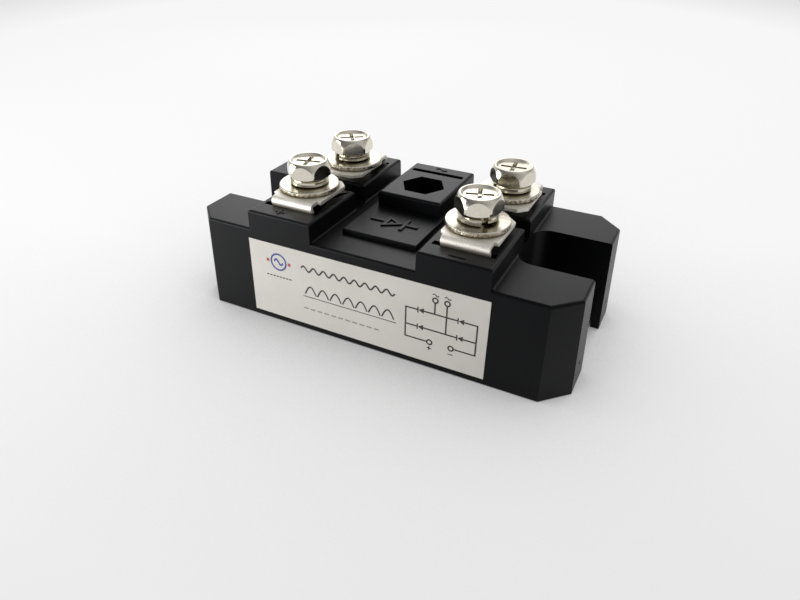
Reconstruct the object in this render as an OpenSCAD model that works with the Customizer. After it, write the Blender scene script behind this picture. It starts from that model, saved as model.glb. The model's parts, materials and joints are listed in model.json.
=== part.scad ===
// Single-phase bridge rectifier module: a moulded housing on a metal base plate, four screw
// terminals on raised blocks, and the diode bridge potted inside. Millimetres, +Z up.
// The origin is the centre of the base plate's underside; +X runs along the housing.

/* [Housing] */
// Length of the housing at its foot
body_l = 82; // [80:0.5:90]
// Width of the housing at its foot
body_w = 40; // [39:0.5:46]
// Height of the deck and the wings
deck_h = 20; // [18:0.5:24]
// Height of the terminal blocks above the deck
block_h = 4; // [3:0.25:6]
// Draft of the outer walls, in degrees
draft = 2; // [0.5:0.25:3]
// Chamfer of the four upright corners
corner_cut = 4.9; // [2:0.1:7]
// Rounding of the top edges
edge_r = 0.6; // [0.2:0.05:0.8]
// Thickness of the wall round the potted cavity
wall = 2; // [1.5:0.25:3]

/* [Terminal blocks] */
// Length of a terminal block along the housing
block_l = 14.2; // [13:0.1:15]
// Distance between the two columns of terminal blocks, centre to centre
block_pitch = 36.5; // [36:0.25:40]
// Width of the channel between the front and the rear blocks
channel_w = 3.6; // [2:0.1:4.5]
// Length of the spare middle block along the housing
spare_l = 14.1; // [13:0.1:16]
// Fillet at the foot of the blocks
foot_r = 0.4; // [0.2:0.05:0.8]

/* [Raised panel] */
// Length of the raised panel in front of the spare block
panel_l = 16; // [12:0.5:18]
// Width of the raised panel
panel_w = 13.1; // [8:0.1:14]
// Height of the raised panel
panel_h = 1; // [0.4:0.1:1.4]

/* [End slots] */
// Width of the open slot in each end
slot_w = 14.9; // [12:0.1:17]
// Corner radius of the slot
slot_r = 3.6; // [1:0.1:5]
// Diameter of the moulding dimples in the end faces
dimple_d = 0.9; // [0.5:0.1:1.5]
// Height of the moulding dimples
dimple_z = 4.8; // [4.5:0.1:10]

/* [Base plate] */
// Width of the housing's rim round the base plate
plate_rim = 2; // [1.5:0.25:3]
// Thickness of the base plate
plate_t = 3; // [2:0.25:4]
// Distance that the plate stands proud of the housing, so that it meets the heat sink
plate_proud = 0.2; // [0.1:0.05:0.5]
// Distance of the mounting holes from the plate's ends
hole_inset = 6.5; // [6:0.25:7]
// Diameter of the mounting holes
hole_d = 5.6; // [5.2:0.1:6.6]

/* [Terminal straps] */
// Thickness of the strap metal
strap_t = 0.8; // [0.5:0.05:1.1]
// Width of the strap where the screw clamps it
strap_w = 11; // [10:0.1:12]
// Length of the strap's broad end
strap_head_l = 10.7; // [10:0.1:11.5]
// Width of the strap's stem, which passes through the slot
stem_w = 9.3; // [8:0.1:10]
// Width of the strap's soldered foot
strap_foot_w = 6; // [4:0.1:8]
// Gap between the block's top and the underside of the strap
strap_lift = 1.2; // [0.4:0.1:2]
// Outer radius of the strap's top bend
strap_bend_r = 1.1; // [1:0.05:1.6]
// Lean of the stem out of its slot, in degrees
strap_lean = 25; // [5:1:30]
// Chamfer of the strap's free corners
strap_cut = 1.7; // [0.5:0.1:2.5]
// Hole in the strap for the terminal screw
strap_hole_d = 6.2; // [5.6:0.1:6.4]
// Distance of the front stems from the housing's front edge at its foot
front_stem_inset = 5.4; // [4.6:0.1:5.8]
// Distance of the rear stems from the housing's rear edge at its foot
rear_stem_inset = 4.9; // [4.6:0.1:5.8]
// Distance of the spare slot from the housing's rear edge at its foot
spare_stem_inset = 4.9; // [4.6:0.1:5.8]
// Length of the stem slots along the housing
stem_slot_l = 12; // [11:0.1:13]
// Width of the stem slots
stem_slot_w = 1.4; // [1.3:0.05:1.8]

/* [Screws and nuts] */
// Diameter of the screw's shank
screw_d = 4.9; // [4.8:0.05:5]
// Length of the screw below its head
screw_l = 12; // [10:0.5:12.5]
// Width across flats of the screw's head
head_af = 8; // [7.8:0.05:8.4]
// Diameter to which the head's corners are rounded
head_e = 9; // [8.6:0.05:9.2]
// Diameter of the head's top, inside its barrelled flanks
head_rim_d = 7.7; // [7:0.05:7.8]
// Height of the screw's head
head_h = 3.35; // [2.8:0.05:4]
// Height at which the flanks start to draw in
crown_z = 1.6; // [1:0.05:2]
// Depth of the dished top of the head
dish_depth = 0.45; // [0.2:0.05:0.8]
// Length of the cross recess
recess_l = 5; // [3.6:0.1:5.2]
// Width of the cross recess
recess_w = 0.8; // [0.6:0.05:1.3]
// Depth of the cross recess below the dish
recess_depth = 1.4; // [0.8:0.1:1.8]
// Distance from a strap's stem to the hole in its broad end
strap_reach = 6.85; // [6.4:0.05:7]
// Distance from the spare slot to the spare socket
spare_reach = 7.35; // [6.8:0.05:7.5]
// Shift of the input terminals along the housing, from the middle of their blocks
input_shift = 0.65; // [0:0.05:0.8]
// Width across flats of the nut
nut_af = 7.8; // [7.6:0.05:8]
// Height of the nut
nut_h = 4; // [3.5:0.1:4.5]
// Width across flats of the nut's socket
socket_af = 8.3; // [8.2:0.05:8.8]
// Depth of the hexagonal socket
socket_depth = 4.2; // [3.8:0.1:5]
// Diameter of the screw's clearance hole below the socket
tip_hole_d = 6.4; // [5.6:0.1:7]

/* [Washers] */
// Outer diameter of the flat washer
flat_d = 12; // [11:0.1:12.5]
// Thickness of the flat washer
flat_t = 1; // [0.8:0.05:1.2]
// Hole in the flat washer
flat_hole_d = 5.8; // [5.3:0.05:6]
// Outer diameter of the spring washer
spring_d = 7.7; // [7.2:0.05:8.4]
// Hole in the spring washer
spring_hole_d = 5.15; // [5.1:0.05:5.4]
// Thickness of the spring washer's wire
spring_t = 1.3; // [1:0.05:1.5]
// Gap between the cut ends of the spring washer
spring_gap = 1; // [0.5:0.1:1.5]

/* [Label] */
// Length of the label on the front
label_l = 51.4; // [40:0.1:60]
// Height of the label
label_h = 16.6; // [10:0.1:17.5]
// Thickness of the label
label_t = 0.12; // [0.08:0.02:0.3]
// Height of the label's lower edge
label_z = 1.4; // [0.8:0.1:2]

/* [Diode bridge] */
// Gap between the ceramic tile's ends and the cavity's walls
tile_end_gap = 0.85; // [0.6:0.05:1.2]
// Gap between the ceramic tile's long sides and the cavity's walls
tile_side_gap = 1.8; // [1.2:0.1:2]
// Thickness of the ceramic tile
tile_t = 0.64; // [0.4:0.04:1]
// Thickness of the copper pads on the tile
pad_t = 0.3; // [0.2:0.05:0.5]
// Margin between the pads and the tile's edge
pad_margin = 0.5; // [0.3:0.1:1]
// Gap between neighbouring pads
pad_gap = 1; // [0.6:0.1:1.4]
// Side of a diode chip
chip_s = 7; // [5:0.25:7.5]
// Thickness of a diode chip
chip_t = 0.4; // [0.3:0.05:0.6]
// Thickness of the link metal
link_t = 0.5; // [0.3:0.05:0.7]
// Width of a link
link_w = 3; // [2:0.1:4]

/* [Hidden] */
$fn = 64;
// Overshoot of a cutter past the face that it cuts
over = 1;
// Clearance round the base plate in its pocket
plate_fit = 0.15;
// Segments of a rounded edge and of a bend
edge_steps = 5;
bend_steps = 8;

// The terminals: side along X, side along Y, turn of the screw's head, place of the screw and of
// the strap along X within their clearances, rise of the spring washer, turn of its cut ends,
// place of the flat washer along X within its clearance, place of the strap's free end along Y.
PLUS = [-1, -1, 14, 0.1, 0.6, 0.2, 100, -0.1, 2.4];
MINUS = [1, -1, 18, -0.2, 0.35, 0.5, -52, 0, 2.4];
AC_1 = [-1, 1, 36, 0.05, 0, 0.25, -117, 0.35, 1.1];
AC_2 = [1, 1, 7, 0.1, -0.1, 0.15, -134, -0.4, 1.3];
TERMINALS = [PLUS, MINUS, AC_1, AC_2];

// Heights, from the heat sink up
block_top = deck_h + block_h;
strap_top = block_top + strap_lift + strap_t;
flat_top = strap_top + flat_t;
tile_z = plate_t;
pad_z = tile_z + tile_t;
solder_z = pad_z + pad_t;
chip_top = solder_z + chip_t;
socket_floor = block_top - socket_depth;
// The screw's tip stays clear of the floor of its hole
tip_clear = 0.6;
tip_floor = flat_top + spring_t - screw_l - tip_clear;
cavity_top = tip_floor - wall;

// Housing
block_x = block_pitch / 2;
slot_x = block_x + block_l / 2;
channel_y = channel_w / 2;
// Front face of the spare block
spare_y = 0.7;
panel_r = 0.25;
cavity_l = 2 * (slot_x - wall);
cavity_w = body_w - 2 * (wall + deck_h * tan(draft));
spare_stem_y = body_w / 2 - spare_stem_inset;
dimple_depth = 0.8;
// The dimples sit in the middle of a wing's end face
dimple_y = (slot_w + body_w - 2 * corner_cut) / 4;
// Play between the strap's stem and the inner side of its slot
stem_play = 0.35;

// Base plate
plate_l = body_l - 2 * plate_rim;
plate_w = body_w - 2 * plate_rim;
plate_cut = corner_cut - plate_rim / 2;
hole_x = plate_l / 2 - hole_inset;

// Straps
lean_bend = 2;
lean_run = 0.4;
strap_foot_bend = 1.4;
strap_foot_l = 5.2;
strap_relief = 0.3;
// The stem takes its full width just above the roof of the cavity
neck_rise = 0.5;

// Screws, nuts and washers
bore_fit = 0.05;
rim_w = 0.4;
rim_edge = 0.15;
base_inset = 0.3;
base_edge = 0.5;
crown_steps = 8;
// The flanks draw in by a power of the height above crown_z
crown_power = 1.25;
recess_arm = 0.55;
hub_d = 1.9;
hub_tip_d = 0.4;
screw_tip = 0.5;
washer_edge = 0.15;
spring_edge = 0.25;
spring_steps = 48;

// The tile fills the floor of the cavity
tile_l = cavity_l - 2 * tile_end_gap;
tile_w = cavity_w - 2 * tile_side_gap;
// Pads fill the tile inside its margin, parted by gaps; the front row is split at plus_end_x
pad_x0 = tile_l / 2 - pad_margin;
pad_y0 = tile_w / 2 - pad_margin;
plus_end_x = 8.4;
ac_split_x = -2.3;
// Centres of the chips: two on the plus pad, one on each input pad
chip_gap = 3;
chip_inset = 0.7;
front_chip_y = -(pad_gap / 2 + chip_gap + chip_s / 2);
rear_chip_y = pad_y0 - chip_inset - chip_s / 2;
CHIPS = [[-8, front_chip_y], [3, front_chip_y], [-8, rear_chip_y], [11, rear_chip_y]];
// Links: length of a foot, centre of the foot that lands on a pad, inner bend radius
link_foot = 3;
link_land_y = 3;
link_r = 0.6;
link_gap = 0.15;
link_clear = 0.4;
// Upper face of a link's span, high enough for the steepest of them
link_span_z = chip_top + 2 * link_t + 2 * (link_r + link_t / 2) + link_clear;

// ---------------------------------------------------------------- helper shapes

// Half of the housing's length, width or diagonal at a height above its foot
function drafted(half, z) = half - tan(draft) * (z - plate_proud);

// Upright section of a drafted body: straight sides, top corners rounded by r
function drafted_section(half, top, r) =
    let (zc = top - r, xc = drafted(half, zc) - r / cos(draft))
    let (arc = [for (i = [0:edge_steps]) let (a = draft + (90 - draft) * i / edge_steps)
                [xc + r * cos(a), zc + r * sin(a)]])
    concat([[half, plate_proud]], arc,
           [for (i = [edge_steps:-1:0]) [-arc[i][0], arc[i][1]]], [[-half, plate_proud]]);

// A section in X and Z, drawn out along Y between -len/2 and len/2
module along_y(len) {
    rotate([90, 0, 0])
        linear_extrude(height = len, center = true)
            children();
}

// A section in Y and Z, drawn out along X
module along_x(len) {
    rotate([0, 0, 90])
        along_y(len)
            children();
}

// The drafted outer form of the housing, up to a given height
module drafted_block(top) {
    diagonal = (body_l + body_w - 2 * corner_cut) / 2 * cos(45);
    far = 2 * body_l;
    intersection() {
        along_y(far) polygon(drafted_section(body_l / 2, top, edge_r));
        along_x(far) polygon(drafted_section(body_w / 2, top, edge_r));
        intersection_for (turn = [45, -45])
            rotate([0, 0, turn])
                along_y(far) polygon(drafted_section(diagonal, top, edge_r));
    }
}

// Upright section of a block between u0 and u1, with its two top corners rounded
function block_section(u0, u1, z0, top, r) =
    concat([[u0, z0], [u1, z0]],
           [for (i = [0:edge_steps]) let (a = 90 * i / edge_steps)
            [u1 - r + r * cos(a), top - r + r * sin(a)]],
           [for (i = [0:edge_steps]) let (a = 90 + 90 * i / edge_steps)
            [u0 + r + r * cos(a), top - r + r * sin(a)]]);

// A box with rounded top edges
module soft_box(x0, x1, y0, y1, z0, top, r) {
    far = 4 * max(abs(x0), abs(x1), abs(y0), abs(y1));
    intersection() {
        along_y(far) polygon(block_section(x0, x1, z0, top, r));
        along_x(far) polygon(block_section(y0, y1, z0, top, r));
    }
}

// A cove fillet along Y in the corner between an upright face on its left and the deck below
module cove_y(len) {
    along_y(len)
        polygon(concat([[-foot_r, -foot_r], [foot_r, -foot_r]],
                       [for (i = [0:edge_steps]) let (a = 270 - 90 * i / edge_steps)
                        [foot_r + foot_r * cos(a), foot_r + foot_r * sin(a)]],
                       [[-foot_r, foot_r]]));
}

// A hexagon by its width across flats, with two corners on the X axis
module hexagon(af) {
    circle(r = af / sqrt(3), $fn = 6);
}

// Centre line of bent sheet metal, as [point, heading] pairs. Each move is [length, turn, radius]:
// straight on for its length, then round a bend.
function bend_points(moves, p, h, i = 0) =
    i == len(moves) ? [] :
    let (m = moves[i], s = sign(m[1]), q = p + m[0] * [cos(h), sin(h)])
    let (c = q + s * m[2] * [-sin(h), cos(h)])
    let (arc = m[1] == 0 ? [] :
         [for (k = [1:bend_steps]) let (g = h + m[1] * k / bend_steps)
          [c - s * m[2] * [-sin(g), cos(g)], g]])
    let (next = m[1] == 0 ? q : arc[bend_steps - 1][0])
    concat(m[0] > 0 ? [[q, h]] : [], arc, bend_points(moves, next, h + m[1], i + 1));

// Outline of a strip of metal of thickness t along such a centre line
module strip(moves, start, t) {
    path = concat([[start, 0]], bend_points(moves, start, 0));
    last = len(path) - 1;
    left = [for (e = path) e[0] + t / 2 * [-sin(e[1]), cos(e[1])]];
    right = [for (i = [last:-1:0]) path[i][0] - t / 2 * [-sin(path[i][1]), cos(path[i][1])]];
    polygon(concat(left, right));
}

// Outline of a rectangle with its four corners cut at 45 degrees
module cut_rectangle(l, w, cut) {
    intersection() {
        square([l, w], center = true);
        rotate(45)
            square((l + w - 2 * cut) * cos(45), center = true);
    }
}

// ---------------------------------------------------------------- housing

// Plan of an end slot: open at the housing's end, with round corners at its closed end
module slot_plan() {
    half = slot_w / 2;
    reach = body_l;
    translate([slot_x + slot_r, -half])
        square([reach, slot_w]);
    translate([slot_x, slot_r - half])
        square([reach, slot_w - 2 * slot_r]);
    for (s = [-1, 1])
        translate([slot_x + slot_r, s * (half - slot_r)])
            circle(r = slot_r);
}

// Socket for a nut, with the clearance hole for the screw's tip below it
module nut_socket() {
    translate([0, 0, socket_floor])
        linear_extrude(height = socket_depth + over)
            hexagon(socket_af);
    translate([0, 0, tip_floor])
        cylinder(d = tip_hole_d, h = block_top - tip_floor);
}

// The slot that a strap's stem comes up through, from a floor to above the block's top
module stem_slot(y, floor_z) {
    translate([-stem_slot_l / 2, y - strap_t / 2 - stem_play, floor_z])
        cube([stem_slot_l, stem_slot_w, block_top + over - floor_z]);
}

// The blocks that stand on the deck, drawn past the outer walls
module blocks() {
    for (sx = [0, 1], sy = [0, 1])
        mirror([sx, 0, 0])
            mirror([0, sy, 0])
                soft_box(slot_x - block_l, slot_x, channel_y, body_w, deck_h - over, block_top, edge_r);
    soft_box(-spare_l / 2, spare_l / 2, spare_y, body_w, deck_h - over, block_top, edge_r);
}

// Cove fillets along the feet of the blocks
module block_coves() {
    y_end = drafted(body_w / 2, deck_h) - edge_r;
    for (sx = [0, 1], sy = [0, 1])
        mirror([sx, 0, 0])
            mirror([0, sy, 0]) {
                translate([slot_x, (channel_y + y_end) / 2, deck_h])
                    cove_y(y_end - channel_y);
                translate([slot_x - block_l, (channel_y + y_end) / 2, deck_h])
                    mirror([1, 0, 0])
                        cove_y(y_end - channel_y);
                translate([block_x, channel_y, deck_h])
                    rotate([0, 0, -90])
                        cove_y(block_l);
            }
}

module housing() {
    pocket_l = plate_l + 2 * plate_fit;
    pocket_w = plate_w + 2 * plate_fit;
    color("#2b2c2e")
        difference() {
            union() {
                drafted_block(deck_h);
                intersection() {
                    drafted_block(block_top);
                    blocks();
                }
                block_coves();
                soft_box(-panel_l / 2, panel_l / 2, spare_y - panel_w, spare_y + over,
                         deck_h - over, deck_h + panel_h, panel_r);
            }
            for (sx = [0, 1])
                mirror([sx, 0, 0])
                    translate([0, 0, -over])
                        linear_extrude(height = block_top + 2 * over)
                            slot_plan();
            linear_extrude(height = plate_t)
                cut_rectangle(pocket_l, pocket_w, plate_cut);
            translate([-cavity_l / 2, -cavity_w / 2, plate_t - over])
                cube([cavity_l, cavity_w, cavity_top - plate_t + over]);
            for (t = TERMINALS)
                at_terminal(t) {
                    translate([shift(t), screw_y(t), 0])
                        nut_socket();
                    stem_slot(stem_y(t), cavity_top - over);
                }
            translate([0, spare_stem_y - spare_reach, 0])
                nut_socket();
            stem_slot(spare_stem_y, socket_floor);
            for (sx = [-1, 1], sy = [-1, 1])
                translate([sx * drafted(body_l / 2, dimple_z), sy * dimple_y, dimple_z])
                    rotate([0, 90, 0])
                        cylinder(d = dimple_d, h = 2 * dimple_depth, center = true);
        }
}

module base_plate() {
    color("#c9c6be")
        difference() {
            linear_extrude(height = plate_t)
                cut_rectangle(plate_l, plate_w, plate_cut);
            for (sx = [-1, 1])
                translate([sx * hole_x, 0, -over])
                    cylinder(d = hole_d, h = plate_t + 2 * over);
        }
}

module label() {
    color("#dedad2")
        translate([0, -drafted(body_w / 2, label_z), label_z])
            rotate([-draft, 0, 0])
                translate([-label_l / 2, -label_t, 0])
                    cube([label_l, label_t, label_h]);
}

// ---------------------------------------------------------------- diode bridge

module ceramic_tile() {
    color("#e9e7e0")
        translate([-tile_l / 2, -tile_w / 2, tile_z])
            cube([tile_l, tile_w, tile_t]);
}

// A copper pad between two corners on the tile
module pad(x0, x1, y0, y1) {
    color("#b8733b")
        translate([x0, y0, pad_z])
            cube([x1 - x0, y1 - y0, pad_t]);
}

module pad_plus() pad(-pad_x0, plus_end_x, -pad_y0, -pad_gap / 2);
module pad_minus() pad(plus_end_x + pad_gap, pad_x0, -pad_y0, -pad_gap / 2);
module pad_ac_1() pad(-pad_x0, ac_split_x - pad_gap / 2, pad_gap / 2, pad_y0);
module pad_ac_2() pad(ac_split_x + pad_gap / 2, pad_x0, pad_gap / 2, pad_y0);

module diode(place) {
    color("#6f7276")
        translate([place[0] - chip_s / 2, place[1] - chip_s / 2, solder_z])
            cube([chip_s, chip_s, chip_t]);
}

// A link that rises from a foot at height z0, spans over its neighbours and comes down to z1.
// It starts at the origin of its frame and runs along Y.
module link(len, z0, z1) {
    r = link_r + link_t / 2;
    top = link_span_z;
    moves = [[link_foot - r, 90, r],
             [top - z0 - link_t / 2 - 2 * r, -90, r],
             [len - 2 * link_foot - 2 * r, -90, r],
             [top - z1 - link_t / 2 - 2 * r, 90, r],
             [link_foot - r, 0, 0]];
    color("#c98a55")
        along_x(link_w)
            strip(moves, [0, z0 + link_t / 2], link_t);
}

// Input links run from the top of a chip on the plus pad to an input pad
module input_link(chip) {
    translate([chip[0], chip[1] - link_foot / 2, 0])
        link(link_land_y - chip[1] + link_foot, chip_top, solder_z);
}

module link_ac_1() input_link(CHIPS[0]);
module link_ac_2() input_link(CHIPS[1]);

// The minus link joins the tops of the two rear chips
module link_minus_1() {
    translate([CHIPS[2][0] - link_foot / 2, CHIPS[2][1], 0])
        rotate([0, 0, -90])
            link(CHIPS[3][0] - CHIPS[2][0] + link_foot, chip_top, chip_top);
}

// and the second one lies on its foot, clear of its bend, and comes down on the minus pad
module link_minus_2() {
    bend_end = CHIPS[3][0] - link_foot / 2 + link_r + link_t / 2;
    translate([bend_end + link_gap + link_w / 2, CHIPS[3][1] + link_foot / 2, 0])
        mirror([0, 1, 0])
            link(CHIPS[3][1] + link_land_y + link_foot, chip_top + link_t, solder_z);
}

module potting() {
    color("#d8d2c0", 0.6)
        difference() {
            translate([-cavity_l / 2, -cavity_w / 2, plate_t])
                cube([cavity_l, cavity_w, cavity_top - plate_t]);
            ceramic_tile();
            pad_plus();
            pad_minus();
            pad_ac_1();
            pad_ac_2();
            for (c = CHIPS)
                diode(c);
            link_ac_1();
            link_ac_2();
            link_minus_1();
            link_minus_2();
            for (t = TERMINALS)
                strap(t);
        }
}

// ---------------------------------------------------------------- terminals

// Distance of a terminal's stem and of its screw from the housing's centre line
function stem_y(t) = body_w / 2 - (t[1] < 0 ? front_stem_inset : rear_stem_inset);
function screw_y(t) = stem_y(t) - strap_reach;

// Shift of a terminal along its block: only the input terminals at the rear have one
function shift(t) = t[1] < 0 ? 0 : input_shift;

// Moves what is drawn for a terminal to its block: outward is +Y in the terminal's own frame
module at_terminal(t) {
    translate([t[0] * block_x, 0, 0])
        mirror([0, t[1] < 0 ? 1 : 0, 0])
            children();
}

// A strap: soldered foot, stem up through the slot, bend, and the broad end under the screw
module strap(t) {
    foot_bend = strap_foot_bend + strap_t / 2;
    top_bend = strap_bend_r - strap_t / 2;
    foot_z = solder_z + strap_t / 2;
    top_z = strap_top - strap_t / 2;
    tip_y = t[8];
    shoulder_y = tip_y + strap_head_l;
    lean_out = lean_bend * (1 - cos(strap_lean)) + lean_run * sin(strap_lean);
    stem_run = top_z - foot_z - foot_bend - lean_bend * sin(strap_lean)
               - lean_run * cos(strap_lean) - top_bend * (1 + sin(strap_lean));
    bend_y = stem_y(t) + lean_out - top_bend * cos(strap_lean);
    moves = [[strap_foot_l - foot_bend, 90, foot_bend],
             [stem_run, -strap_lean, lean_bend],
             [lean_run, 90 + strap_lean, top_bend],
             [bend_y - tip_y, 0, 0]];
    far = body_w;
    color("#d6d3cc")
        at_terminal(t)
            translate([shift(t) + t[4], 0, 0])
                difference() {
                    along_x(strap_w)
                        strip(moves, [stem_y(t) - strap_foot_l, foot_z], strap_t);
                    for (s = [-1, 1]) {
                        // The stem is narrower than the broad end
                        translate([s > 0 ? stem_w / 2 : -stem_w / 2 - far, 0, 0])
                            cube([far, far, strap_top - strap_t - strap_relief]);
                        translate([s > 0 ? stem_w / 2 : -stem_w / 2 - far, shoulder_y, 0])
                            cube([far, far, strap_top + over]);
                        // The foot is narrower again
                        translate([s > 0 ? strap_foot_w / 2 : -strap_foot_w / 2 - far, 0, 0])
                            cube([far, far, cavity_top + neck_rise]);
                        // Cut corners at the free end
                        translate([s * strap_w / 2, tip_y, strap_top - strap_t / 2])
                            rotate([0, 0, 45])
                                cube([strap_cut * sqrt(2), strap_cut * sqrt(2), 2 * strap_t], center = true);
                    }
                    translate([0, screw_y(t), strap_top - 2 * strap_t])
                        cylinder(d = strap_hole_d, h = 3 * strap_t);
                }
}

// Places a piece of the clamped stack on the screw's axis
module on_screw(t, z) {
    translate([t[0] * block_x + shift(t) + t[3], t[1] * screw_y(t), z])
        children();
}

// A hexagonal nut with both ends chamfered
module nut(t) {
    r = nut_af / 2;
    corner = nut_af / sqrt(3);
    fall = (corner - r) * tan(30);
    color("#d9d8d4")
        on_screw(t, block_top + strap_lift - nut_h)
            difference() {
                intersection() {
                    linear_extrude(height = nut_h)
                        hexagon(nut_af);
                    rotate_extrude()
                        polygon([[0, 0], [r, 0], [corner, fall],
                                 [corner, nut_h - fall], [r, nut_h], [0, nut_h]]);
                }
                translate([0, 0, -over])
                    cylinder(d = screw_d + 2 * bore_fit, h = nut_h + 2 * over);
            }
}

// A flat washer with its edges eased
module flat_washer(t) {
    r = flat_d / 2;
    color("#dad9d6")
        on_screw(t, strap_top)
            translate([t[7], 0, 0])
                rotate_extrude()
                    polygon([[flat_hole_d / 2, 0], [r - washer_edge, 0], [r, washer_edge],
                             [r, flat_t - washer_edge], [r - washer_edge, flat_t],
                             [flat_hole_d / 2, flat_t]]);
}

// A split spring washer: one turn of bevelled wire that rises clockwise from one cut end to the
// other, so that its upper end bites when the screw turns back
module spring_washer(t) {
    b = (spring_d - spring_hole_d) / 4;
    mid_r = (spring_d + spring_hole_d) / 4;
    h = spring_t / 2;
    e = spring_edge;
    section = [[-b, e - h], [e - b, -h], [b - e, -h], [b, e - h],
               [b, h - e], [b - e, h], [e - b, h], [-b, h - e]];
    n = len(section);
    open = asin(spring_gap / 2 / mid_r);
    points = [for (i = [0:spring_steps], p = section)
              let (a = -open - (360 - 2 * open) * i / spring_steps)
              [(mid_r + p[0]) * cos(a), (mid_r + p[0]) * sin(a), h + p[1] + t[5] * i / spring_steps]];
    sides = [for (i = [0:spring_steps - 1], k = [0:n - 1])
             let (m = (k + 1) % n)
             [i * n + k, i * n + m, (i + 1) * n + m, (i + 1) * n + k]];
    ends = [[for (k = [n - 1:-1:0]) k], [for (k = [0:n - 1]) spring_steps * n + k]];
    color("#cfcecb")
        on_screw(t, flat_top)
            rotate([0, 0, t[6]])
                polyhedron(points, concat(sides, ends));
}

// A hexagon-headed screw with barrelled flanks, a dished top and a cross recess
module screw(t) {
    corner = head_e / 2;
    rim = head_rim_d / 2;
    dish_r = rim - rim_w;
    crown = [for (i = [0:crown_steps]) let (u = i / crown_steps)
             [corner - (corner - rim) * pow(u, crown_power), crown_z + (head_h - rim_edge - crown_z) * u]];
    color("#dedddb")
        on_screw(t, flat_top + spring_t + t[5])
            rotate([0, 0, t[2]]) {
                difference() {
                    intersection() {
                        linear_extrude(height = head_h)
                            hexagon(head_af);
                        rotate_extrude()
                            polygon(concat([[0, 0], [head_af / 2 - base_inset, 0], [corner, base_edge]],
                                           crown, [[rim - rim_edge, head_h], [0, head_h]]));
                    }
                    translate([0, 0, head_h - dish_depth])
                        cylinder(r1 = dish_r - dish_depth, r2 = dish_r, h = dish_depth);
                    translate([0, 0, head_h])
                        for (turn = [0, 90])
                            rotate([0, 0, turn])
                                cube([recess_l, recess_w, 2 * (dish_depth + recess_arm)], center = true);
                    translate([0, 0, head_h - dish_depth - recess_depth])
                        cylinder(d1 = hub_tip_d, d2 = hub_d, h = recess_depth + dish_depth);
                }
                translate([0, 0, screw_tip - screw_l])
                    cylinder(d = screw_d, h = screw_l - screw_tip + over / 2);
                translate([0, 0, -screw_l])
                    cylinder(d1 = screw_d - 2 * screw_tip, d2 = screw_d, h = screw_tip);
            }
}

housing();
base_plate();
label();
potting();
ceramic_tile();
pad_plus();
pad_minus();
pad_ac_1();
pad_ac_2();
diode(CHIPS[0]);  // diode_1
diode(CHIPS[1]);  // diode_2
diode(CHIPS[2]);  // diode_3
diode(CHIPS[3]);  // diode_4
link_ac_1();
link_ac_2();
link_minus_1();
link_minus_2();
strap(PLUS);  // strap_plus
strap(MINUS);  // strap_minus
strap(AC_1);  // strap_ac_1
strap(AC_2);  // strap_ac_2
nut(PLUS);  // nut_plus
nut(MINUS);  // nut_minus
nut(AC_1);  // nut_ac_1
nut(AC_2);  // nut_ac_2
flat_washer(PLUS);  // flat_washer_plus
flat_washer(MINUS);  // flat_washer_minus
flat_washer(AC_1);  // flat_washer_ac_1
flat_washer(AC_2);  // flat_washer_ac_2
spring_washer(PLUS);  // spring_washer_plus
spring_washer(MINUS);  // spring_washer_minus
spring_washer(AC_1);  // spring_washer_ac_1
spring_washer(AC_2);  // spring_washer_ac_2
screw(PLUS);  // screw_plus
screw(MINUS);  // screw_minus
screw(AC_1);  // screw_ac_1
screw(AC_2);  // screw_ac_2
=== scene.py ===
"""Looks for the bridge rectifier module: materials, softened edges, the label's print, the moulded
signs, a pale studio floor, lamps and the camera. Lengths are written in millimetres and made
metres by MM. The label's and the blocks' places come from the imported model's own nodes."""

import json
import math

import bmesh
import bpy
from mathutils import Matrix, Quaternion, Vector

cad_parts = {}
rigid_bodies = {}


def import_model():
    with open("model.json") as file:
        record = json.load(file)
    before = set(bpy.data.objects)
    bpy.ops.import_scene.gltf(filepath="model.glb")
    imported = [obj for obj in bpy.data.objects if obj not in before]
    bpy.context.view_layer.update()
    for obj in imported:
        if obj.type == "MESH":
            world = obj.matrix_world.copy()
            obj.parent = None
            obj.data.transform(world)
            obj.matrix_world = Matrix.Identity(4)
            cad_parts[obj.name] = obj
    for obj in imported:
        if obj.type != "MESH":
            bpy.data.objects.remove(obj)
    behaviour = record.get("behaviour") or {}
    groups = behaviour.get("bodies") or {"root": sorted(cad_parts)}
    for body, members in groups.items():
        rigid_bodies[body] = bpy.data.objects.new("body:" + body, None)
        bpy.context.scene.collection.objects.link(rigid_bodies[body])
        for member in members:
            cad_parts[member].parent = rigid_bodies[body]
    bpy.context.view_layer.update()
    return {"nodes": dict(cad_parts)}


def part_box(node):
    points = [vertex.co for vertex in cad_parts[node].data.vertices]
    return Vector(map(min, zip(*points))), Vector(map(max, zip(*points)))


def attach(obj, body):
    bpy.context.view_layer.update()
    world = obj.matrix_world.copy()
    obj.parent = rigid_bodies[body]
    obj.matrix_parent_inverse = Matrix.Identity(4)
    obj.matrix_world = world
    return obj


MM = 0.001
TERMINALS = ("plus", "minus", "ac_1", "ac_2")
NICKEL = (0.775, 0.735, 0.635)

for old in list(bpy.data.objects):
    bpy.data.objects.remove(old)

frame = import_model()
nodes = frame["nodes"]
scene = bpy.context.scene
scene.view_settings.view_transform = "Standard"


# ---------------------------------------------------------------- camera

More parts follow.
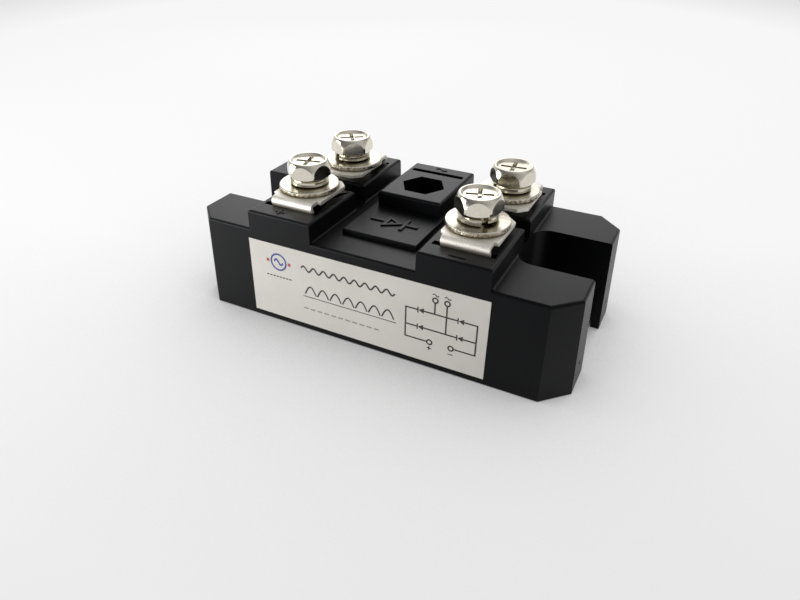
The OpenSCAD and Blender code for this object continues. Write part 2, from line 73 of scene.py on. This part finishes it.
def add_camera():
    """A wide lens close by, looking down at the label's corner from the right, a little rolled."""
    data = bpy.data.cameras.new("camera")
    data.sensor_width = 36
    data.lens = 28.548
    data.clip_start = 5 * MM
    data.clip_end = 20000 * MM
    place = Vector((52.120, -106.872, 77.461)) * MM
    aim = Vector((6.055, -15.050, 10)) * MM
    roll = math.radians(0.392)
    camera = bpy.data.objects.new("camera", data)
    turn = (aim - place).to_track_quat("-Z", "Y") @ Quaternion((0, 0, 1), roll)
    camera.matrix_world = Matrix.LocRotScale(place, turn, None)
    scene.collection.objects.link(camera)
    scene.camera = camera


# ---------------------------------------------------------------- meshes

def new_piece(name, mesh, material, place):
    """Puts a finished mesh in the scene as a piece that rides on the part."""
    piece = bpy.data.objects.new(name, mesh)
    scene.collection.objects.link(piece)
    piece.data.materials.append(material)
    piece.matrix_world = place
    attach(piece, "root")
    return piece


def plates(name, outlines, low, high):
    """A mesh of closed flat plates, one per outline, from low to high in mm. An outline is a list
    of (x, y) in mm, or a pair (outer, inner) of equally long lists for a ring."""
    bm = bmesh.new()
    for outline in outlines:
        rings = outline if isinstance(outline, tuple) else (outline,)
        base, top = [[[bm.verts.new((x * MM, y * MM, z * MM)) for x, y in points]
                      for points in rings] for z in (low, high)]
        count = len(rings[0])
        sides = [(i, (i + 1) % count) for i in range(count)]
        for below, above in zip(base, top):
            for i, j in sides:
                bm.faces.new((below[i], below[j], above[j], above[i]))
        for level in (base, top):
            if len(level) == 1:
                bm.faces.new(level[0])
            else:
                outer, inner = level
                for i, j in sides:
                    bm.faces.new((outer[i], outer[j], inner[j], inner[i]))
    bmesh.ops.recalc_face_normals(bm, faces=bm.faces)
    mesh = bpy.data.meshes.new(name)
    bm.to_mesh(mesh)
    bm.free()
    return mesh


def stroke(points, width):
    """Outline of a mitred line of an even width through some points."""
    points = [Vector(p) for p in points]
    sharpest = 0.3  # keeps the mitre of a tight corner short
    left, right = [], []
    for i, point in enumerate(points):
        before = (point - points[i - 1]).normalized() if i > 0 else None
        after = (points[i + 1] - point).normalized() if i + 1 < len(points) else None
        inward = before or after
        outward = after or before
        tangent = (inward + outward).normalized()
        normal = Vector((-tangent.y, tangent.x))
        reach = width / 2 / max(sharpest, normal.dot(Vector((-inward.y, inward.x))))
        left.append(tuple(point + normal * reach))
        right.append(tuple(point - normal * reach))
    return right + left[::-1]


def ring(centre, radius, width, steps=28):
    """A ring's outer and inner outline; radius is that of its middle line."""
    angles = [2 * math.pi * i / steps for i in range(steps)]
    return tuple([(centre[0] + r * math.cos(a), centre[1] + r * math.sin(a)) for a in angles]
                 for r in (radius + width / 2, radius - width / 2))


def bar(x0, x1, y0, y1):
    """A rectangle's outline."""
    return [(x0, y0), (x1, y0), (x1, y1), (x0, y1)]


def wave(x0, x1, middle, height, periods, steps=16):
    """Points of a sine wave, with a number of steps for each period."""
    n = steps * periods
    return [(x0 + (x1 - x0) * i / n, middle + height / 2 * math.sin(2 * math.pi * periods * i / n))
            for i in range(n + 1)]


def hump(x0, x1, base, height, steps=18):
    """Points of half a sine wave that stands on a base line."""
    return [(x0 + (x1 - x0) * k / steps, base + height * math.sin(math.pi * k / steps))
            for k in range(steps + 1)]


def plus_sign(x, y, reach, half):
    """A plus as three bars that meet edge to edge; half is half the width of its lines."""
    return [bar(x - reach, x - half, y - half, y + half),
            bar(x + half, x + reach, y - half, y + half),
            bar(x - half, x + half, y - reach, y + reach)]


def minus_sign(x, y, reach, half):
    """A minus as one bar."""
    return [bar(x - reach, x + reach, y - half, y + half)]


# ---------------------------------------------------------------- material tools

def graph(name):
    """A new node material, with its tree and its Principled shader."""
    material = bpy.data.materials.new(name)
    material.use_nodes = True
    tree = material.node_tree
    return material, tree, tree.nodes["Principled BSDF"]


def add(tree, kind, **values):
    """A new node; each value goes to the input of its name, or else to the setting."""
    node = tree.nodes.new(kind)
    for key, value in values.items():
        if key in node.inputs:
            node.inputs[key].default_value = value
        else:
            setattr(node, key, value)
    return node


def maths(tree, operation, *values, clamp=False):
    """A Math node's output. Each value is a number or another node's output."""
    node = add(tree, "ShaderNodeMath", operation=operation, use_clamp=clamp)
    for socket, value in zip(node.inputs, values):
        if isinstance(value, (int, float)):
            socket.default_value = value
        else:
            tree.links.new(value, socket)
    return node.outputs[0]


def position(tree, scale=(1, 1, 1)):
    """The object's own coordinates in millimetres, stretched by scale."""
    place = add(tree, "ShaderNodeTexCoord")
    mapping = add(tree, "ShaderNodeMapping")
    mapping.inputs["Scale"].default_value = [s / MM for s in scale]
    tree.links.new(place.outputs["Object"], mapping.inputs["Vector"])
    return mapping.outputs["Vector"]


def noise(tree, vector, scale, detail=3.0, roughness=0.55):
    """Cloudy noise from 0 to 1; a scale of 1 gives features of about 1 mm."""
    node = add(tree, "ShaderNodeTexNoise", Scale=scale, Detail=detail, Roughness=roughness)
    tree.links.new(vector, node.inputs["Vector"])
    return node.outputs["Fac"]


def ramp(tree, value, low, high):
    """Maps a value to a colour, from one (position, colour) to another."""
    node = add(tree, "ShaderNodeValToRGB")
    for element, (place, colour) in zip(node.color_ramp.elements, (low, high)):
        element.position = place
        element.color = (*colour, 1)
    tree.links.new(value, node.inputs["Fac"])
    return node.outputs["Color"]


def spread(tree, value, low, high, from_low=0.3, from_high=0.7):
    """Maps a value from one range to another and holds it at the ends."""
    node = add(tree, "ShaderNodeMapRange")
    node.inputs["From Min"].default_value = from_low
    node.inputs["From Max"].default_value = from_high
    node.inputs["To Min"].default_value = low
    node.inputs["To Max"].default_value = high
    tree.links.new(value, node.inputs["Value"])
    return node.outputs["Result"]


def tinted(tree, colour, share, tint):
    """A colour multiplied by a tint where the share is 1."""
    mix = add(tree, "ShaderNodeMix", data_type="RGBA", blend_type="MULTIPLY")
    tree.links.new(share, mix.inputs["Factor"])
    tree.links.new(colour, mix.inputs[6])
    mix.inputs[7].default_value = (*tint, 1)
    return mix.outputs[2]


def openness(tree, reach):
    """1 in the open, falling to 0 in corners narrower than a reach in mm."""
    node = add(tree, "ShaderNodeAmbientOcclusion", Distance=reach * MM, samples=4)
    return node.outputs["AO"]


def bump(tree, shader, layers):
    """Chains bumps: each layer is (height output, strength, distance in mm)."""
    last = None
    for height, strength, distance in layers:
        node = add(tree, "ShaderNodeBump", Strength=strength, Distance=distance * MM)
        tree.links.new(height, node.inputs["Height"])
        if last is not None:
            tree.links.new(last, node.inputs["Normal"])
        last = node.outputs["Normal"]
    tree.links.new(last, shader.inputs["Normal"])


def seen_by(tree):
    """Two outputs: 1 for a camera ray, and 1 for a glossy or transmission ray."""
    path = add(tree, "ShaderNodeLightPath")
    shiny = maths(tree, "ADD", path.outputs["Is Glossy Ray"],
                  path.outputs["Is Transmission Ray"], clamp=True)
    return path.outputs["Is Camera Ray"], shiny


# ---------------------------------------------------------------- materials

def moulded_black():
    """Fine-grained black moulding compound: spark-eroded grain and faint flow marks. Its low base
    colour and dark specular tint hold the surface at a deep black under a pale room."""
    material, tree, shader = graph("moulded_black")
    at = position(tree)
    flow = noise(tree, at, 0.09, 4.0)
    fine = noise(tree, at, 9.0, 2.0)
    grain = noise(tree, at, 3.2, 3.0, 0.6)
    tree.links.new(ramp(tree, flow, (0.3, (0.0020, 0.0021, 0.0023)), (0.7, (0.0030, 0.0031, 0.0034))),
                   shader.inputs["Base Color"])
    tree.links.new(spread(tree, grain, 0.38, 0.46), shader.inputs["Roughness"])
    shader.inputs["IOR"].default_value = 1.9
    shader.inputs["Specular Tint"].default_value = (0.060, 0.062, 0.068, 1)
    bump(tree, shader, [(grain, 0.35, 0.03), (fine, 0.3, 0.012)])
    return material


def sheared_rim(tree):
    """Torn grain on upright faces, as a punch leaves it on the rim of a washer."""
    normal = add(tree, "ShaderNodeNewGeometry")
    parts = add(tree, "ShaderNodeSeparateXYZ")
    tree.links.new(normal.outputs["True Normal"], parts.inputs[0])
    slope = maths(tree, "ABSOLUTE", parts.outputs["Z"])
    upright = spread(tree, slope, 1.0, 0.0, 0.3, 0.6)
    tears = noise(tree, position(tree, (1.6, 1.6, 0.9)), 1.0, 3.0, 0.65)
    return maths(tree, "MULTIPLY", spread(tree, tears, 0.0, 1.0, 0.35, 0.6), upright)


def plated(name, colour, rough_low, rough_high, dents=0.006, grain=(1, 1, 1), grain_depth=0.004,
           rim_depth=0.0, painted_shade_share=0.85):
    """Nickel plating: small shifts of colour and gloss, a faint uneven surface, fine scratches, dull
    spots and painted brown shade in the corners. Depths in mm; rim_depth adds a punched rim's grain."""
    painted_shade_tint = (0.36, 0.32, 0.22)
    spot_tint = (0.55, 0.50, 0.40)
    tear_tint = (0.40, 0.36, 0.28)
    shade_share = 0.9
    material, tree, shader = graph(name)
    at = position(tree)
    cloud = noise(tree, at, 0.45, 4.0)
    fine = noise(tree, position(tree, grain), 6.0, 3.0, 0.6)
    swell = noise(tree, at, 0.9, 1.5)
    speck = noise(tree, at, 2.6, 4.0, 0.7)
    tone = ramp(tree, cloud, (0.3, [c * shade_share for c in colour]), (0.7, colour))
    # Painted shade: a brown tint darkens the plating in corners and crevices, by ambient occlusion
    painted_shade = spread(tree, openness(tree, 1.1), painted_shade_share, 0.0, 0.25, 0.85)
    tone = tinted(tree, tone, painted_shade, painted_shade_tint)
    spots = spread(tree, speck, 0.0, 0.3, 0.52, 0.72)
    tone = tinted(tree, tone, spots, spot_tint)
    layers = [(swell, 0.5, dents), (fine, 0.4, grain_depth)]
    if rim_depth > 0:
        tears = sheared_rim(tree)
        tone = tinted(tree, tone, tears, tear_tint)
        layers.append((tears, 0.9, rim_depth))
    tree.links.new(tone, shader.inputs["Base Color"])
    tree.links.new(spread(tree, fine, rough_low, rough_high), shader.inputs["Roughness"])
    shader.inputs["Metallic"].default_value = 1.0
    bump(tree, shader, layers)
    return material


def label_film():
    """Silver-grey polyester label: even, with a soft sheen and faint waviness."""
    material, tree, shader = graph("label_film")
    at = position(tree)
    cloud = noise(tree, at, 0.12, 3.0)
    fibre = noise(tree, at, 5.0, 2.0)
    tree.links.new(ramp(tree, cloud, (0.3, (0.60, 0.575, 0.535)), (0.7, (0.64, 0.615, 0.575))),
                   shader.inputs["Base Color"])
    tree.links.new(spread(tree, fibre, 0.42, 0.5), shader.inputs["Roughness"])
    shader.inputs["Specular IOR Level"].default_value = 0.5
    bump(tree, shader, [(fibre, 0.2, 0.008)])
    return material


def ink(name, colour):
    """Printing ink, slightly uneven in density."""
    material, tree, shader = graph(name)
    density = noise(tree, position(tree), 4.0, 3.0)
    thin = [min(1, c * 1.25 + 0.01) for c in colour]
    tree.links.new(ramp(tree, density, (0.35, colour), (0.75, thin)), shader.inputs["Base Color"])
    tree.links.new(spread(tree, density, 0.45, 0.6), shader.inputs["Roughness"])
    return material


def plain(name, colour, rough_low, rough_high, scale, depth, metallic=0.0):
    """A mottled surface for the inner pieces; the bumps' depth in mm."""
    dark_share = 0.85
    material, tree, shader = graph(name)
    mottle = noise(tree, position(tree), scale, 4.0)
    dark = [c * dark_share for c in colour]
    tree.links.new(ramp(tree, mottle, (0.3, dark), (0.7, colour)), shader.inputs["Base Color"])
    tree.links.new(spread(tree, mottle, rough_low, rough_high), shader.inputs["Roughness"])
    shader.inputs["Metallic"].default_value = metallic
    bump(tree, shader, [(mottle, 0.3, depth)])
    return material


# ---------------------------------------------------------------- the CAD nodes' surfaces

def geometry_group(name):
    """An empty geometry node group with its input and output nodes."""
    group = bpy.data.node_groups.new(name, "GeometryNodeTree")
    for way in ("INPUT", "OUTPUT"):
        group.interface.new_socket("Geometry", in_out=way, socket_type="NodeSocketGeometry")
    return group, group.nodes.new("NodeGroupInput"), group.nodes.new("NodeGroupOutput")


def join_corners_group():
    """Geometry nodes that join the imported mesh's split corners, so that edges can be softened."""
    group, start, end = geometry_group("join_corners")
    drop = group.nodes.new("GeometryNodeRemoveAttribute")
    drop.inputs["Name"].default_value = "custom_normal"
    merge = group.nodes.new("GeometryNodeMergeByDistance")
    merge.inputs["Distance"].default_value = 0.0005 * MM
    group.links.new(start.outputs[0], drop.inputs["Geometry"])
    group.links.new(drop.outputs["Geometry"], merge.inputs["Geometry"])
    group.links.new(merge.outputs["Geometry"], end.inputs[0])
    return group


def smooth_group():
    """Geometry nodes that shade smooth, except across edges sharper than an angle."""
    sharp_angle = math.radians(32)
    group, start, end = geometry_group("smooth_by_angle")
    edge_angle = group.nodes.new("GeometryNodeInputMeshEdgeAngle")
    compare = group.nodes.new("FunctionNodeCompare")
    compare.data_type = "FLOAT"
    compare.operation = "LESS_EQUAL"
    compare.inputs[1].default_value = sharp_angle
    faces = group.nodes.new("GeometryNodeSetShadeSmooth")
    edges = group.nodes.new("GeometryNodeSetShadeSmooth")
    edges.domain = "EDGE"
    group.links.new(start.outputs["Geometry"], faces.inputs["Geometry"])
    group.links.new(faces.outputs["Geometry"], edges.inputs["Geometry"])
    group.links.new(edge_angle.outputs["Unsigned Angle"], compare.inputs[0])
    group.links.new(compare.outputs["Result"], edges.inputs["Shade Smooth"])
    group.links.new(edges.outputs["Geometry"], end.inputs[0])
    return group


def soften(node, width, join, smooth, limit=28):
    """Breaks a node's edges sharper than a limit in degrees by a width in mm, as tooling and
    tumbling leave them, and shades the rest smooth."""
    obj = nodes[node]
    joined = obj.modifiers.new("join", "NODES")
    joined.node_group = join
    flat = obj.modifiers.new("flatten", "DECIMATE")
    flat.decimate_type = "DISSOLVE"
    flat.angle_limit = math.radians(0.4)
    if width > 0:
        edge = obj.modifiers.new("edges", "BEVEL")
        edge.width = width * MM
        edge.segments = 2
        edge.limit_method = "ANGLE"
        edge.angle_limit = math.radians(limit)
        edge.miter_outer = "MITER_ARC"
        edge.use_clamp_overlap = True
    shade = obj.modifiers.new("shade", "NODES")
    shade.node_group = smooth
    weight = obj.modifiers.new("normals", "WEIGHTED_NORMAL")
    weight.keep_sharp = True
    weight.weight = 50


def dress(node, material):
    """Gives a CAD node its material."""
    obj = nodes[node]
    if not obj.material_slots:
        obj.data.materials.append(material)
    for slot in obj.material_slots:
        slot.material = material


def dress_body(housing):
    """The housing, its plate and label, and the bridge inside."""
    copper = plain("copper_pad", (0.86, 0.45, 0.28), 0.25, 0.4, 1.2, 0.01, metallic=1.0)
    silicon = plain("silicon_chip", (0.16, 0.17, 0.20), 0.2, 0.3, 2.0, 0.002, metallic=0.6)
    dress("housing", housing)
    dress("base_plate", plated("plate_nickel", NICKEL, 0.28, 0.4, grain=(6, 0.4, 1)))
    dress("label", label_film())
    dress("potting", plain("potting_gel", (0.66, 0.62, 0.50), 0.25, 0.4, 0.3, 0.05))
    dress("ceramic_tile", plain("alumina", (0.83, 0.82, 0.79), 0.4, 0.5, 1.5, 0.01))
    for terminal in TERMINALS:
        dress(f"pad_{terminal}", copper)
    for link in ("link_ac_1", "link_ac_2", "link_minus_1", "link_minus_2"):
        dress(link, copper)
    for chip in (1, 2, 3, 4):
        dress(f"diode_{chip}", silicon)


def dress_terminals():
    """Straps in satin plating, the rest of the terminals' metal bright."""
    strap = plated("strap_nickel", (0.92, 0.89, 0.82), 0.52, 0.68, dents=0.05,
                   grain=(0.5, 3, 3), grain_depth=0.03)
    steel = plated("screw_nickel", NICKEL, 0.10, 0.2, dents=0.02, painted_shade_share=0.45)
    washer = plated("washer_nickel", NICKEL, 0.16, 0.3, dents=0.04, grain_depth=0.01,
                    rim_depth=0.12)
    spring = plated("spring_nickel", NICKEL, 0.1, 0.2, dents=0.03)
    for terminal in TERMINALS:
        dress(f"strap_{terminal}", strap)
        dress(f"nut_{terminal}", steel)
        dress(f"flat_washer_{terminal}", washer)
        dress(f"spring_washer_{terminal}", spring)
        dress(f"screw_{terminal}", steel)


def soften_nodes():
    """Edge widths in mm of every node that shows."""
    join, smooth = join_corners_group(), smooth_group()
    soften("housing", 0.12, join, smooth)
    soften("base_plate", 0.15, join, smooth)
    for terminal in TERMINALS:
        soften(f"strap_{terminal}", 0.12, join, smooth)
        soften(f"nut_{terminal}", 0.12, join, smooth)
        soften(f"flat_washer_{terminal}", 0.05, join, smooth)
        soften(f"spring_washer_{terminal}", 0.0, join, smooth)
        soften(f"screw_{terminal}", 0.12, join, smooth, limit=20)


# ---------------------------------------------------------------- print and signs

def label_frame():
    """Matrix from the label's outer face to the model: x runs along the face, y up it from the
    height of the base, and z outward."""
    points = [v.co for v in nodes["label"].data.vertices]
    low_z = min(p.z for p in points)
    high_z = max(p.z for p in points)
    band = 0.5 * MM
    low = min((p for p in points if p.z < low_z + band), key=lambda p: p.y)
    high = min((p for p in points if p.z > high_z - band), key=lambda p: p.y)
    along = Vector((1, 0, 0))
    up = Vector((0, high.y - low.y, high.z - low.z)).normalized()
    place = Matrix((along, up, along.cross(up))).transposed().to_4x4()
    place.translation = Vector((0, low.y, low.z)) - up * low.z
    return place


def diode(point, base, y, half):
    """A diode in a wire at y: a bar and a solid triangle that points at it."""
    bar_reach, reach, overlap = 0.62, 0.58, 0.1
    tip = point + half * 0.6
    return [bar(point - half, tip, y - bar_reach, y + bar_reach),
            [(tip, y), (base + overlap, y - reach), (base + overlap, y + reach)]]


def bridge_diagram(line):
    """Two inputs above, a top and a middle wire with two diodes each, and two outputs below."""
    left, right = 9.61, 23.7
    top, middle, bottom = 12.45, 8.8, 6.03
    first_gap, second_gap = (12.09, 13.15), (20.0, 21.05)
    in_1, in_2 = 15.4, 17.75
    input_y, input_wave_y = 15.33, 16.42
    plus_x, minus_x, plus_y, minus_y = 14.64, 18.95, 4.69, 4.66
    circle = 0.5
    clear = circle + 0.02
    half = line / 2
    shapes = [ring((x, input_y), circle, line) for x in (in_1, in_2)]
    shapes += [ring((x, bottom), circle, line) for x in (plus_x, minus_x)]
    shapes += [stroke([(plus_x - clear, bottom), (left, bottom), (left, top),
                       (first_gap[0] - half, top)], line),
               stroke([(minus_x + clear, bottom), (right, bottom), (right, top),
                       (second_gap[1], top)], line),
               bar(left + half, first_gap[0] - half, middle - half, middle + half),
               bar(second_gap[1], right - half, middle - half, middle + half),
               bar(first_gap[1], in_2 - half, top - half, top + half),
               bar(in_2 + half, second_gap[0] - half, top - half, top + half),
               bar(first_gap[1], second_gap[0] - half, middle - half, middle + half),
               bar(in_1 - half, in_1 + half, top + half, input_y - clear),
               bar(in_2 - half, in_2 + half, middle + half, input_y - clear)]
    for y in (top, middle):
        for point, base in (first_gap, second_gap):
            shapes += diode(point, base, y, half)
    shapes += plus_sign(plus_x, plus_y, 0.45, 0.1)
    shapes += minus_sign(minus_x, minus_y, 0.5, 0.1)
    for x in (in_1 + 0.05, in_2 + 0.05):
        shapes.append(stroke(wave(x - 0.62, x + 0.62, input_wave_y, 0.42, 1), 0.2))
    return shapes


def wave_lines():
    """An alternating wave, and below it the rectified wave over its base line."""
    end = 7.3
    shapes = [stroke(wave(-13.4, end, 14.35, 1.05, 9), 0.34)]
    start, base, crest, humps, side_gap, foot = -12.9, 8.55, 2.05, 7, 0.16, 0.12
    pitch = (end - start) / humps
    for i in range(humps):
        x = start + i * pitch
        shapes.append(stroke(hump(x + side_gap, x + pitch - side_gap, base + foot,
                                  crest - 2 * foot), 0.3))
    shapes.append(bar(start - 0.35, end + 0.35, base - 0.55, base - 0.38))
    return shapes


def dashes(start, pitch, length, low, high, count):
    """A row of short bars."""
    return [bar(start + i * pitch, start + i * pitch + length, low, high) for i in range(count)]


def label_print():
    """The bridge diagram, two wave lines and a round two-colour wave mark, as thin layers of ink."""
    place = label_frame()

    def layer(name, shapes, material):
        new_piece(name, plates(name, shapes, -0.01, 0.02), material, place)

    dark = ink("ink_dark", (0.022, 0.018, 0.016))
    layer("print_dark", bridge_diagram(0.3) + wave_lines(), dark)
    layer("print_grey", dashes(-13.3, 1.62, 1.1, 5.1, 5.42, 11),
          ink("ink_grey", (0.27, 0.245, 0.225)))
    x, y, line = -18.8, 14.2, 0.36
    layer("print_blue", [ring((x, y), 1.75, line, 48),
                         stroke(wave(x - 1.05, x + 1.05, y, 1.15, 1, 24), line)],
          ink("ink_blue", (0.035, 0.055, 0.24)))
    aside, half = 2.55, 0.33
    layer("print_red", [bar(middle - half, middle + half, y - half, y + half)
                        for middle in (x - aside, x + aside)],
          ink("ink_red", (0.42, 0.05, 0.06)))
    layer("print_rules", dashes(-21.9, 0.78, 0.5, 10.72, 10.98, 8), dark)


def raise_signs(name, shapes, ground, height, edge_width, material):
    """Signs that stand up from the moulding at a ground height, with softened edges."""
    rooted = -0.05
    place = Matrix.Translation((0, 0, ground * MM))
    piece = new_piece(name, plates(name, shapes, rooted, height), material, place)
    edge = piece.modifiers.new("edges", "BEVEL")
    edge.width = edge_width * MM
    edge.segments = 2
    edge.limit_method = "ANGLE"


def moulded_signs(housing):
    """Polarity signs on the blocks, and a diode symbol on the panel."""
    block_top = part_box("housing")[1].z / MM
    line = 0.36
    shapes = plus_sign(-19.1, -17.1, 0.95, line / 2) + minus_sign(18.2, -17.6, 1.6, line / 2)
    for x in (-18.25, 0.0, 18.25):
        shapes.append(stroke(wave(x - 1.3, x + 1.3, 17.4, 0.8, 1, 24), line))
    raise_signs("block_signs", shapes, block_top, 0.16, 0.06, housing)

    # The diode: a wire of that reach each way, an open triangle and a bar in front of its tip
    panel_top = 21
    y, line, reach = -5.85, 0.75, 5.2
    back, front, tall = -1.9, 2.0, 2.3
    inner_back, inner_front, inner_tall = -1.1, 0.6, 1.05
    shapes = [bar(-reach, back, y - line / 2, y + line / 2),
              ([(back, y - tall), (front, y), (back, y + tall)],
               [(inner_back, y - inner_tall), (inner_front, y), (inner_back, y + inner_tall)]),
              bar(front, front + line, y - tall, y + tall),
              bar(front + line, reach, y - line / 2, y + line / 2)]
    raise_signs("panel_sign", shapes, panel_top, 0.28, 0.08, housing)


# ---------------------------------------------------------------- studio

def floor_material():
    """Matt white card. Camera, glossy and transmission rays also see a plain pale glow. Painted shadow
    holds it back where the part stands close, and a painted falloff of light fades it towards the
    front, so that the shadow stays."""
    glow_share = 0.86
    painted_falloff_centre = (-110 * MM, 230 * MM, 0)
    material, tree, shader = graph("floor_card")
    mottle = noise(tree, position(tree, (0.001, 0.001, 0.001)), 2.0, 2.0)
    tree.links.new(ramp(tree, mottle, (0.0, (0.86, 0.86, 0.86)), (1.0, (0.875, 0.872, 0.868))),
                   shader.inputs["Base Color"])
    shader.inputs["Roughness"].default_value = 0.7
    shader.inputs["Specular IOR Level"].default_value = 0.1
    away = add(tree, "ShaderNodeVectorMath", operation="DISTANCE")
    geometry = add(tree, "ShaderNodeNewGeometry")
    tree.links.new(geometry.outputs["Position"], away.inputs[0])
    away.inputs[1].default_value = painted_falloff_centre
    # Painted falloff of light: the glow fades with distance from a point behind and left of the part
    painted_falloff = spread(tree, away.outputs["Value"], 1.0, 0.78, 240 * MM, 380 * MM)
    # Painted contact shadow: the glow is dimmed by ambient occlusion where the part stands close
    painted_shadow = spread(tree, openness(tree, 60), 0.2, 1.0, 0.3, 0.93)
    glow = add(tree, "ShaderNodeEmission", Color=(1, 1, 1, 1))
    tree.links.new(maths(tree, "MULTIPLY", painted_shadow, painted_falloff), glow.inputs["Strength"])
    camera, shiny = seen_by(tree)
    seen = maths(tree, "ADD", camera, shiny, clamp=True)
    mix = add(tree, "ShaderNodeMixShader")
    tree.links.new(maths(tree, "MULTIPLY", seen, glow_share), mix.inputs["Fac"])
    tree.links.new(shader.outputs[0], mix.inputs[1])
    tree.links.new(glow.outputs[0], mix.inputs[2])
    tree.links.new(mix.outputs[0], tree.nodes["Material Output"].inputs["Surface"])
    return material


def add_floor():
    """A flat card, far wider than the view."""
    reach = 1500 * MM
    mesh = bpy.data.meshes.new("floor")
    corners = [(-reach, -reach, 0), (reach, -reach, 0), (reach, reach, 0), (-reach, reach, 0)]
    mesh.from_pydata(corners, [], [(0, 1, 2, 3)])
    floor = bpy.data.objects.new("floor", mesh)
    scene.collection.objects.link(floor)
    floor.data.materials.append(floor_material())


def add_lamp(name, place, target, size, power):
    """A softbox at a place, aimed at a target. Places and sizes in mm, power in watts."""
    data = bpy.data.lights.new(name, "AREA")
    data.shape = "RECTANGLE"
    data.size = size[0] * MM
    data.size_y = size[1] * MM
    data.energy = power
    lamp = bpy.data.objects.new(name, data)
    place = Vector(place) * MM
    lamp.location = place
    lamp.rotation_euler = (Vector(target) * MM - place).to_track_quat("-Z", "Y").to_euler()
    lamp.visible_camera = False
    scene.collection.objects.link(lamp)


def add_world(base, glows):
    """A soft room with a strength of base all round. Each glow adds (azimuth and elevation in
    degrees, strength, sharpness)."""
    backdrop = 0.75
    world = bpy.data.worlds.new("studio")
    scene.world = world
    world.use_nodes = True
    tree = world.node_tree
    towards = add(tree, "ShaderNodeTexCoord").outputs["Generated"]
    total = base
    for azimuth, elevation, strength, sharpness in glows:
        a, e = math.radians(azimuth), math.radians(elevation)
        facing = add(tree, "ShaderNodeVectorMath", operation="DOT_PRODUCT")
        facing.inputs[1].default_value = (math.cos(e) * math.cos(a), math.cos(e) * math.sin(a),
                                          math.sin(e))
        tree.links.new(towards, facing.inputs[0])
        front = maths(tree, "MAXIMUM", facing.outputs["Value"], 0)
        total = maths(tree, "MULTIPLY_ADD", maths(tree, "POWER", front, sharpness), strength, total)

    # A pale backdrop: all of it for the camera, its lower band for glossy and transmission rays
    height = add(tree, "ShaderNodeSeparateXYZ")
    tree.links.new(towards, height.inputs[0])
    band = spread(tree, height.outputs["Z"], 1.0, 0.0, 0.1, 0.35)
    camera, shiny = seen_by(tree)
    pale = add(tree, "ShaderNodeMix", data_type="FLOAT")
    tree.links.new(maths(tree, "MULTIPLY_ADD", shiny, band, camera, clamp=True), pale.inputs["Factor"])
    tree.links.new(total, pale.inputs[2])
    pale.inputs[3].default_value = backdrop
    background = tree.nodes["Background"]
    background.inputs["Color"].default_value = (1, 1, 1, 1)
    tree.links.new(pale.outputs[0], background.inputs["Strength"])


def add_studio():
    """A window behind, a fainter one to the left of it, fill from the right, front and above."""
    add_floor()
    add_world(0.02, [(100, 30, 1.55, 10), (150, 30, 1.05, 10), (0, 30, 0.54, 3),
                     (270, 40, 0.18, 3), (0, 90, 0.36, 4)])
    add_lamp("left", (-230, -110, 62), (0, -10, 10), (150, 118), 0.25)
    add_lamp("back", (-160, 230, 160), (0, 0, 10), (200, 200), 0.12)
    add_lamp("near_left", (-120, -160, 30), (-20, -20, 10), (80, 60), 0.16)


add_camera()
black = moulded_black()
dress_body(black)
dress_terminals()
soften_nodes()
label_print()
moulded_signs(black)
add_studio()
